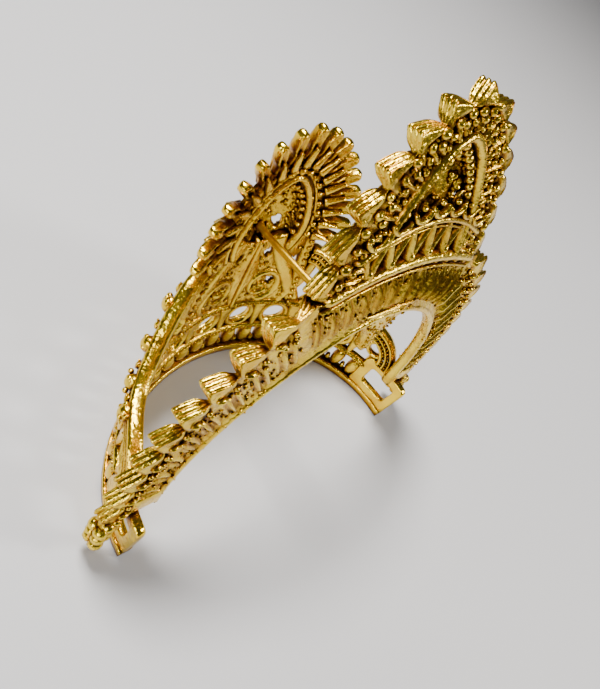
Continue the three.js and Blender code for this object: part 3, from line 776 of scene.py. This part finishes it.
def rear_arch(material):
    shell = Shell()
    source = random.Random(ARCH_SEED)
    inner = outline(INNER_HALF, INNER_RISE, ARCH_FOOT_Z, 2)
    for side in SIDES:
        wing(shell, side, source)
        pad_z = ARCH_FOOT_Z + SOLDER_PAD_HIGH / 2
        start = (side * (INNER_HALF - 0.4), pad_z)
        end = (side * (BAND_HALF_WIDTH + 1), pad_z)
        shell.bar(arch, line(start, end), SOLDER_PAD_HIGH, 2.3, steps=8, box=0.5, sides=16, blunt=0.08)
    shell.bar(arch, lambda t: inner(math.pi * t), 1.4, 2.2, steps=110, box=0.9, sides=12)
    for _ in range(RIM_GRAINS):
        at = inner(source.uniform(0.04, 0.85))
        away = source.uniform(-0.5, 1.6)
        at = (source.choice(SIDES) * (at[0] + away * 0.8), at[1] + away * 0.6)
        radius = source.uniform(0.16, 0.38)
        shell.ball(arch, at, radius, source.choice(SIDES) * source.uniform(0.3, 1), rows=2)
    pendant(shell, source)
    crest_fan(shell, source)
    crest_rails(shell)
    crest_inside(shell, source)
    return shell.piece("rear_arch_casting", material)


# Front band

SHOULDER_END = BAND_END - LOOP_LONG


def shoulder(t):
    fall = smooth(0, 1, min(1, t / FALL_SHARE))
    return (mix(SHOULDER_START, SHOULDER_END, t), mix(SHOULDER_Z + 3.5, WALL_TOP_Z, fall) - mix(1.4, 1, t))


def rails(shell):
    inner = BAND_END - TAB_LONG + 0.5
    full = line((-BAND_END, FOOT_RAIL_HIGH / 2), (BAND_END, FOOT_RAIL_HIGH / 2))
    shell.bar(wall, full, FOOT_RAIL_HIGH, WALL_THICK + 0.8, steps=120, box=0.3, sides=16)
    for up, end in ((BEAD_RAIL_Z, inner), (PETAL_RAIL_Z, SHOULDER_END)):
        shell.bar(wall, line((-end, up), (end, up)), 1.6, 2.2, steps=110, box=0.7, sides=12, grooves=1)
        for out in SIDES:
            shell.beads(wall, line((-end, up), (end, up)), 0.34, 0.78, out, rows=2)


def petals(shell):
    reach = BAND_END - TAB_LONG - 0.8
    count = int(reach / PETAL_PITCH)
    for index in range(-count, count + 1):
        along = index * PETAL_PITCH
        middle = (FOOT_RAIL_HIGH + BEAD_RAIL_Z) / 2
        shell.ball(wall, (along, middle), PETAL_RADIUS, 0, (0.95, 2.0, 0.9), 8)
        shell.ball(wall, (along + PETAL_PITCH / 2, middle - 1.5), 0.55, 0, (1, 1.6, 1.4), 5)


def drops(shell):
    reach = BAND_END - TAB_LONG - 2
    count = int(reach / (DROP_PITCH / 2))
    for index in range(-count, count + 1):
        along = index * DROP_PITCH / 2
        if index % 2 == 0:
            path = line((along, BEAD_RAIL_Z), (along, PETAL_RAIL_Z))
            shell.bar(wall, path, lambda t: mix(0.8, 3.3, t ** 0.8), 1.9, steps=10, grooves=2, sides=16)
        else:
            middle = (BEAD_RAIL_Z + PETAL_RAIL_Z) / 2
            shell.ring(wall, (along, middle), DROP_RING_RADIUS, 0.7)
            shell.ring(wall, (along, middle), DROP_RING_RADIUS, 0.35, 0.7, deep=1.2)


def tab(shell, side):
    """The flat end tab with its slot, as one closed surface round the slot."""
    outer = outline(TAB_LONG / 2, TAB_HIGH / 2, TAB_HIGH / 2, 9)
    slot = outline(SLOT_LONG / 2, SLOT_HIGH / 2, SLOT_Z, 7)
    section = ((0, 0.3), (0.06, 0.47), (0.14, 0.5), (0.86, 0.5), (0.94, 0.47), (1, 0.3))
    section += tuple((share, -out) for share, out in reversed(section))
    middle = BAND_END - TAB_LONG / 2
    slot_middle = BAND_END - TAB_LONG * (1 - SLOT_MIDDLE)
    first, size, count = len(shell.points), len(section), 96
    for k in range(count):
        turn = 2 * math.pi * (k + 0.5) / count
        a, b = slot(turn), outer(turn)
        for share, out in section:
            along, up = blend((slot_middle + a[0], a[1]), (middle + b[0], b[1]), share)
            shell.points.append(wall(side * along, up, out * WALL_THICK))
    for k in range(count):
        row, following = first + k * size, first + (k + 1) % count * size
        for j in range(size):
            n = (j + 1) % size
            shell.faces.append((row + j, following + j, following + n, row + n))


def beside(path, shift):
    """The line that runs beside a path, shift to its left."""
    def at(t):
        before, here, after = path(max(0, t - 0.01)), path(t), path(min(1, t + 0.01))
        dx, dy = after[0] - before[0], after[1] - before[1]
        length = math.hypot(dx, dy)
        return (here[0] - dy / length * shift, here[1] + dx / length * shift)
    return at


def moulding(t):
    """The shoulder's line, run on down the end loop to the tab."""
    if t < 1 - LOOP_SHARE:
        return shoulder(t / (1 - LOOP_SHARE))
    turn = (t - 1 + LOOP_SHARE) / LOOP_SHARE * math.pi / 2
    start = shoulder(1)
    along = mix(start[0], BAND_END - LOOP_FOOT, math.sin(turn))
    return (along, mix(TAB_HIGH - 0.4, start[1], math.cos(turn)))


def shoulders(shell, side, source):
    path = flipped(shoulder, side)
    run = flipped(moulding, side)
    for shift, wide in ((-1.2, 1.1), (-0.05, 0.85), (1.15, 1.2)):
        shift *= side
        shell.bar(wall, beside(run, shift), wide, 2.5, steps=84, box=0.8)
    for out in SIDES:
        shell.beads(wall, beside(run, 0.52 * side), 0.3, 0.8, out * 1.05, rows=2)
        shell.beads(wall, beside(run, -0.62 * side), 0.3, 0.8, out * 1.05, rows=2)
    for index in range(KNOBS_A_SIDE):
        knob(shell, path(0.26 + KNOB_STEP * index), KNOB_RADIUS, source)
        knob(shell, path(0.16 + KNOB_STEP * index), SMALL_KNOB_RADIUS, source)


def knob(shell, at, radius, source):
    """A lumpy knob: a ball with smaller grains pressed into it."""
    shell.ball(wall, at, radius, KNOB_OUT, (0.95, 1.15, 0.95), rows=8)
    for _ in range(9):
        shift = (source.uniform(-0.8, 0.8) * radius, source.uniform(-0.9, 0.9) * radius)
        lift = KNOB_OUT + 0.55 * radius * source.uniform(0.2, 1.2)
        place = (at[0] + shift[0], at[1] + shift[1])
        shell.ball(wall, place, radius * source.uniform(0.25, 0.42), lift, rows=4)


def end_loop(shell, side):
    """The small ring inside the loop that brings the wall's upper edge down onto the tab."""
    middle = BAND_END - (LOOP_LONG + LOOP_FOOT) / 2 - 0.3
    at = (side * middle, TAB_HIGH + LOOP_RING_RADIUS + 0.3)
    shell.ring(wall, at, LOOP_RING_RADIUS, 0.55, deep=1.6)


def wall_scrolls(shell, side):
    for index in range(SCROLLS_A_SIDE):
        along = SHOULDER_START + SCROLL_PITCH * index
        top = shoulder((along + 2 - SHOULDER_START) / (SHOULDER_END - SHOULDER_START))
        foot = (along - 1.6, PETAL_RAIL_Z)
        bend = (mix(foot[0], top[0], 0.5) + 0.9, mix(foot[1], top[1], 0.5))
        path = flipped(arc([foot, bend, top]), side)
        shell.bar(wall, path, lambda t: 1.5 + 0.9 * math.sin(math.pi * t), 2, steps=14, grooves=1, sides=12)
    curl = flipped(scroll(CURL_AT, CURL_RADIUS, -math.pi / 2, 1.2), side)
    shell.bar(wall, curl, lambda t: mix(2.1, 1.1, t), 2.1, steps=34, grooves=1, sides=12, blunt=0.05)
    shell.ball(wall, (side * CURL_AT[0], CURL_AT[1]), 1.1)


def leaf_foot(shell, side):
    def curl(t):
        across = FOOT_CURL[0] - FOOT_CURL[1] * math.sin(mix(-0.75, 1.15, t))
        return (across, mix(PETAL_RAIL_Z + 1, LEAF_Z - 2, t))

    outer = line((FOOT_BAR[0], PETAL_RAIL_Z + 1), (FOOT_BAR[1], LEAF_Z - 1))
    shell.bar(wall, flipped(curl, side), 3.3, 2.1, steps=26, grooves=2, sides=16)
    shell.bar(wall, flipped(outer, side), 2.5, 2.2, steps=18, grooves=1, sides=14)
    for out in SIDES:
        shell.beads(wall, flipped(outer, side), 0.55, 1.5, out)


def leaf(shell, source):
    """The big leaf: its collar, its fingers with the beads below them, and the rim of its hollow."""
    tips = outline(LEAF_HALF_WIDTH, LEAF_RISE, LEAF_Z, LEAF_POINT)
    base = outline(LEAF_HALF_WIDTH - FINGER_LONG, LEAF_RISE - FINGER_LONG, LEAF_Z, LEAF_POINT)
    rim = outline(LEAF_RIM_HALF, LEAF_RIM_RISE, LEAF_Z, LEAF_RIM_POINT)
    rings = []
    for index in range(COLLAR_STEPS + 1):
        turn = mix(-COLLAR_FOOT_TURN, math.pi + COLLAR_FOOT_TURN, index / COLLAR_STEPS)
        rings.append([wall(*blend(rim(turn), base(turn), v), out) for v, out in COLLAR_SECTION])
    shell.loft(rings)
    right = even_turns(tips, FINGER_PITCH, FINGERS_A_SIDE, FINGER_PITCH)

    def wide(t):
        waist = 1 - 0.42 * hump(t, 0.42, 0.2)
        return mix(1.1, 2.1, smooth(0, 0.2, t)) * waist * mix(1, 0.78, smooth(0.55, 1, t))

    def thick(t):
        return mix(1.3, 2.2, smooth(0, 0.7, t))

    for turn in [math.pi / 2] + right + [math.pi - t for t in right]:
        path = line(blend(tips(turn), base(turn), 1.3), tips(turn))
        shell.bar(wall, path, wide, thick, 0.1, steps=26, box=0.7, sides=20, blunt=0.12, cup=0.55)
        root = line(blend(tips(turn), base(turn), 1.15), blend(tips(turn), base(turn), 0.5))
        for out in SIDES:
            shell.bar(wall, root, lambda t: mix(1.8, 0.3, t), 1.1, out, steps=8, box=1, sides=8)
        for share, radius in FINGER_BEADS:
            at = blend(tips(turn), base(turn), share)
            for out in SIDES:
                squash = [source.uniform(0.8, 1.3), source.uniform(0.8, 1.2), source.uniform(0.8, 1.1)]
                shell.ball(wall, at, radius, out * 0.8, squash, rows=4)
    for _ in range(COLLAR_GRAINS):
        turn = source.uniform(-0.4, math.pi + 0.4)
        at = blend(rim(turn), base(turn), source.uniform(0.15, 1))
        shell.ball(wall, at, source.uniform(0.18, 0.36), source.choice(SIDES) * 0.7, rows=3)

    def turn_at(t):
        return mix(-LEAF_RIM_FOOT_TURN, math.pi + LEAF_RIM_FOOT_TURN, t)

    shell.bar(wall, lambda t: rim(turn_at(t)), 1.5, 2.8, out=-0.2, steps=70, box=0.9, sides=12)
    shell.bar(wall, lambda t: blend(rim(turn_at(t)), base(turn_at(t)), 0.36), 0.8, 2.3, steps=70)


def bulge(across, rise):
    """How far the hollow's floor stands out to the front, across from -1 to 1 and up from 0 to 1."""
    return 0.35 + HOLLOW_DEEP * (1 - across * across) * math.sqrt(max(0, math.sin(math.pi * rise)))


def hollow(shell, source):
    """The leaf's hollow, strewn with grains."""
    rim = outline(LEAF_RIM_HALF, LEAF_RIM_RISE, LEAF_Z, LEAF_RIM_POINT)
    hollow_floor(shell, wall, rim, HOLLOW_FOOT_TURN, bulge, HOLLOW_HOLES, (44, 36))
    for _ in range(HOLLOW_GRAINS):
        rise = source.uniform(0.03, 0.95)
        across = source.uniform(-0.9, 0.9)
        edge = rim(mix(HOLLOW_FOOT_TURN, math.pi / 2, rise))
        at = (across * edge[0], edge[1])
        if clear_of(HOLLOW_HOLES, at, GRAIN_CLEAR):
            squash = [source.uniform(0.7, 1.4), source.uniform(0.7, 1.3), source.uniform(0.8, 1.3)]
            shell.ball(wall, at, source.uniform(0.22, 0.5), bulge(across, rise) - HOLLOW_THICK / 2, squash, 3)


def leaf_ground(shell, source):
    """The thin ground behind the ornaments under the leaf, rough with grains, with small piercings."""
    def edge(turn):
        share = turn / (math.pi / 2)
        return (mix(*GROUND_HALF, share), mix(PETAL_RAIL_Z, GROUND_TOP, share))

    holes = [(side * across, up) for side in SIDES for across, up in GROUND_HOLES]
    hollow_floor(shell, wall, edge, 0, lambda across, rise: 0, holes, (40, 56))
    for _ in range(GROUND_GRAINS):
        half, up = edge(source.uniform(0.05, 0.98) * math.pi / 2)
        at = (source.uniform(-0.97, 0.97) * half, up)
        if clear_of(holes, at, GROUND_GRAIN_CLEAR):
            squash = [source.uniform(0.7, 1.5), source.uniform(0.7, 1.4), source.uniform(0.7, 1.1)]
            shell.ball(wall, at, source.uniform(0.25, 0.55), source.choice(SIDES) * 0.4, squash, 3)


def bud(shell):
    def wide(t):
        return 1.6 + 5 * max(0, math.sin(math.pi * min(1, t * 1.05))) ** 1.5

    stem = line((0, PETAL_RAIL_Z), (0, LEAF_Z - 2.4))
    shell.bar(wall, stem, wide, 1.9, steps=26, grooves=2, sides=18)
    shell.bar(wall, stem, 0.9, 2.6, steps=20)


def front_band(material):
    shell = Shell()
    source = random.Random(BAND_SEED)
    rails(shell)
    petals(shell)
    drops(shell)
    for side in SIDES:
        tab(shell, side)
        end_loop(shell, side)
        shoulders(shell, side, source)
        wall_scrolls(shell, side)
        leaf_foot(shell, side)
    leaf(shell, source)
    hollow(shell, source)
    leaf_ground(shell, source)
    bud(shell)
    return shell.piece("front_band_casting", material)


def strut(material):
    """The rod, slightly bowed, with a blob of solder at each end."""
    shell = Shell()
    front = wall(0, ROD_FRONT_Z, bulge(0, ROD_FRONT_RISE) - HOLLOW_THICK / 2 - 0.1)
    rear = arch(0, ROD_REAR_Z, 1.2)
    length = (rear - front).length
    away = (rear - front).normalized()
    right = Vector((1, 0, 0))
    up = right.cross(away).normalized()
    rings = []
    for index in range(ROD_STEPS + 1):
        t = index / ROD_STEPS
        solder = 0.45 * hump(t, 0, 0.05) + 0.4 * hump(t, 1, 0.05)
        radius = mix(ROD_FRONT_RADIUS, ROD_REAR_RADIUS, t) + solder
        bow = ROD_BOW * math.sin(math.pi * t)
        centre = front + away * length * t - up * bow * MM
        ring = []
        for k in range(ROD_SIDES):
            angle = 2 * math.pi * k / ROD_SIDES
            ring.append(centre + (right * math.cos(angle) + up * math.sin(angle)) * radius * MM)
        rings.append(ring)
    shell.loft(rings)
    return shell.piece("strut_rod", material)


# Materials

BAND_GOLD = (1, 0.68, 0.035)
ARCH_GOLD = (0.98, 0.69, 0.045)
ROD_GOLD = (1, 0.66, 0.03)
# Colours painted into the recesses: an orange patina that deepens through umber to near-black brown as
# painted shade where a recess is shut in
PAINTED_SHADE_BROWN = (0.018, 0.008, 0.001)
PAINTED_SHADE_UMBER = (0.17, 0.052, 0.001)
PATINA_AND_SHADE_ORANGE = (0.62, 0.27, 0.008)
PAINTED_SHADE_REACH = 2.2  # how far the shade of a recess looks for the surfaces round it


def ramp_of(nodes, stops):
    """A colour ramp with the given (position, colour) stops."""
    ramp = nodes.new("ShaderNodeValToRGB")
    elements = ramp.color_ramp.elements
    while len(elements) < len(stops):
        elements.new(0.5)
    for element, (position, colour) in zip(elements, stops):
        element.position = position
        element.color = (*colour, 1)
    return ramp


def gilt(name, gold, roughness, grain_deep):
    """Gold plate on a cast surface: full gold on the open ridges, and in the recesses an orange patina that
    painted shade darkens to dark brown.
    """
    made = bpy.data.materials.new(name)
    made.use_nodes = True
    nodes, links = made.node_tree.nodes, made.node_tree.links
    shader = nodes["Principled BSDF"]
    shader.inputs["Metallic"].default_value = 1.0
    coords = nodes.new("ShaderNodeTexCoord")

    def noise(scale, detail):
        texture = nodes.new("ShaderNodeTexNoise")
        texture.inputs["Scale"].default_value = scale
        texture.inputs["Detail"].default_value = detail
        links.new(coords.outputs["Object"], texture.inputs["Vector"])
        return texture.outputs["Fac"]

    def maths(operation, first, second, third=None):
        node = nodes.new("ShaderNodeMath")
        node.operation = operation
        for socket, value in zip(node.inputs, (first, second, third)):
            if isinstance(value, (int, float)):
                socket.default_value = value
            elif value is not None:
                links.new(value, socket)
        return node.outputs["Value"]

    # How open a place is: shut in deep recesses, open on ridges, with the noise breaking up its edge.
    cavity = nodes.new("ShaderNodeAmbientOcclusion")
    cavity.inputs["Distance"].default_value = PAINTED_SHADE_REACH * MM
    cavity.samples = 8
    broken = maths("MULTIPLY_ADD", noise(900, 3), 0.3, -0.15)
    wear_and_painted_shade = maths("ADD", cavity.outputs["AO"], broken)
    # Painted shade: shut-in places are coloured darker, from a dimmed gold through orange patina and umber to
    # near-black brown, and open places keep the full gold.
    ramp = ramp_of(nodes, (
        (0.34, PAINTED_SHADE_BROWN),
        (0.54, PAINTED_SHADE_UMBER),
        (0.7, PATINA_AND_SHADE_ORANGE),
        (0.82, tuple(0.72 * c for c in gold)),
        (0.96, gold),
    ))
    links.new(wear_and_painted_shade, ramp.inputs["Fac"])
    tone = ramp_of(nodes, ((0.36, (0.66, 0.5, 0.3)), (0.56, (1, 1, 1)), (0.75, (1, 1.04, 1.15))))
    links.new(noise(210, 3), tone.inputs["Fac"])
    vary = nodes.new("ShaderNodeMixRGB")
    vary.blend_type = "MULTIPLY"
    vary.inputs["Fac"].default_value = 0.55
    links.new(ramp.outputs["Color"], vary.inputs["Color1"])
    links.new(tone.outputs["Color"], vary.inputs["Color2"])
    links.new(vary.outputs["Color"], shader.inputs["Base Color"])

    # Rubbed ridges are smoother than the cast ground.
    spread = nodes.new("ShaderNodeMapRange")
    spread.inputs["From Min"].default_value = 0.3
    spread.inputs["From Max"].default_value = 0.95
    spread.inputs["To Min"].default_value = roughness + 0.2
    spread.inputs["To Max"].default_value = roughness
    links.new(wear_and_painted_shade, spread.inputs["Value"])
    rough = maths("MULTIPLY_ADD", noise(520, 4), 0.16, spread.outputs["Result"])
    links.new(rough, shader.inputs["Roughness"])

    height = maths("MULTIPLY_ADD", noise(520, 2), 1.8, noise(1700, 3))
    bump = nodes.new("ShaderNodeBump")
    bump.inputs["Strength"].default_value = 0.8
    bump.inputs["Distance"].default_value = grain_deep * MM
    links.new(height, bump.inputs["Height"])
    links.new(bump.outputs["Normal"], shader.inputs["Normal"])
    return made


# Stage, lights and camera

FLOOR_REACH = 2  # metres
FLOOR_COLOUR = (0.5, 0.5, 0.53, 1)
WORLD_COLOUR = (0.75, 0.8, 0.85, 1)
WORLD_STRENGTH = 0.05
# Each lamp: name, place and size in metres, power in watts, and colour.
LAMPS = (
    ("key", (0.02, -0.16, 0.4), 0.12, 4.2, (1, 0.97, 0.9)),
    ("fill", (0.4, 0.12, 0.2), 0.16, 1.2, (0.95, 0.97, 1)),
    ("rim", (-0.3, 0.28, 0.3), 0.1, 1.8, (1, 0.95, 0.85)),
)
LIT_POINT = Vector((0, 0, 0.03))


def stage():
    mesh = bpy.data.meshes.new("floor")
    corners = [(x * FLOOR_REACH, y * FLOOR_REACH, 0) for x, y in ((-1, -1), (1, -1), (1, 1), (-1, 1))]
    mesh.from_pydata(corners, [], [(0, 1, 2, 3)])
    floor = bpy.data.objects.new("floor", mesh)
    bpy.context.scene.collection.objects.link(floor)
    paint = bpy.data.materials.new("floor_paint")
    paint.use_nodes = True
    shader = paint.node_tree.nodes["Principled BSDF"]
    shader.inputs["Base Color"].default_value = FLOOR_COLOUR
    shader.inputs["Roughness"].default_value = 0.6
    mesh.materials.append(paint)


def light(name, at, size, power, colour):
    data = bpy.data.lights.new(name, "AREA")
    data.shape = "DISK"
    data.size = size
    data.energy = power
    data.color = colour
    lamp = bpy.data.objects.new(name, data)
    lamp.location = at
    lamp.rotation_euler = (LIT_POINT - Vector(at)).to_track_quat("-Z", "Y").to_euler()
    bpy.context.scene.collection.objects.link(lamp)


def lights():
    for lamp in LAMPS:
        light(*lamp)
    world = bpy.data.worlds.new("studio")
    bpy.context.scene.world = world
    world.use_nodes = True
    background = world.node_tree.nodes["Background"]
    background.inputs["Color"].default_value = WORLD_COLOUR
    background.inputs["Strength"].default_value = WORLD_STRENGTH


# The camera's height over the floor is about three times the band's half width.
CAMERA_AT = (65.4, BACK + 7.2, 98.2)
CAMERA_HEADING = (-0.9498, -0.3128)
CAMERA_TILT = math.radians(46.5)
CAMERA_ROLL = math.radians(45)
FRAME_LONG_SIDE = 689
FOCAL_PIXELS = 600
SENSOR = 36


def camera():
    data = bpy.data.cameras.new("camera")
    data.sensor_width = SENSOR
    data.lens = SENSOR * FOCAL_PIXELS / FRAME_LONG_SIDE
    data.clip_start = 0.002
    data.clip_end = 20
    eye = bpy.data.objects.new("camera", data)
    hx, hy = CAMERA_HEADING
    level = Vector((hy, -hx, 0))
    look = Vector((hx * math.cos(CAMERA_TILT), hy * math.cos(CAMERA_TILT), -math.sin(CAMERA_TILT)))
    raised = level.cross(look)
    right = level * math.cos(CAMERA_ROLL) + raised * math.sin(CAMERA_ROLL)
    up = raised * math.cos(CAMERA_ROLL) - level * math.sin(CAMERA_ROLL)
    turn = Matrix((right, up, -look)).transposed().to_4x4()
    eye.matrix_world = Matrix.Translation(Vector(CAMERA_AT) * MM) @ turn
    bpy.context.scene.collection.objects.link(eye)
    bpy.context.scene.camera = eye


camera()
stage()
lights()
band_gold = gilt("gilt_band", BAND_GOLD, roughness=0.14, grain_deep=0.16)
arch_gold = gilt("gilt_arch", ARCH_GOLD, roughness=0.16, grain_deep=0.17)
rod_gold = gilt("gilt_rod", ROD_GOLD, roughness=0.3, grain_deep=0.05)

for made, node, slot in (
    (front_band(band_gold), "front_band", "gilt_band"),
    (rear_arch(arch_gold), "rear_arch", "gilt_arch"),
    (strut(rod_gold), "strut", "gilt_rod"),
):
    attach(made, "root")
    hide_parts(node)
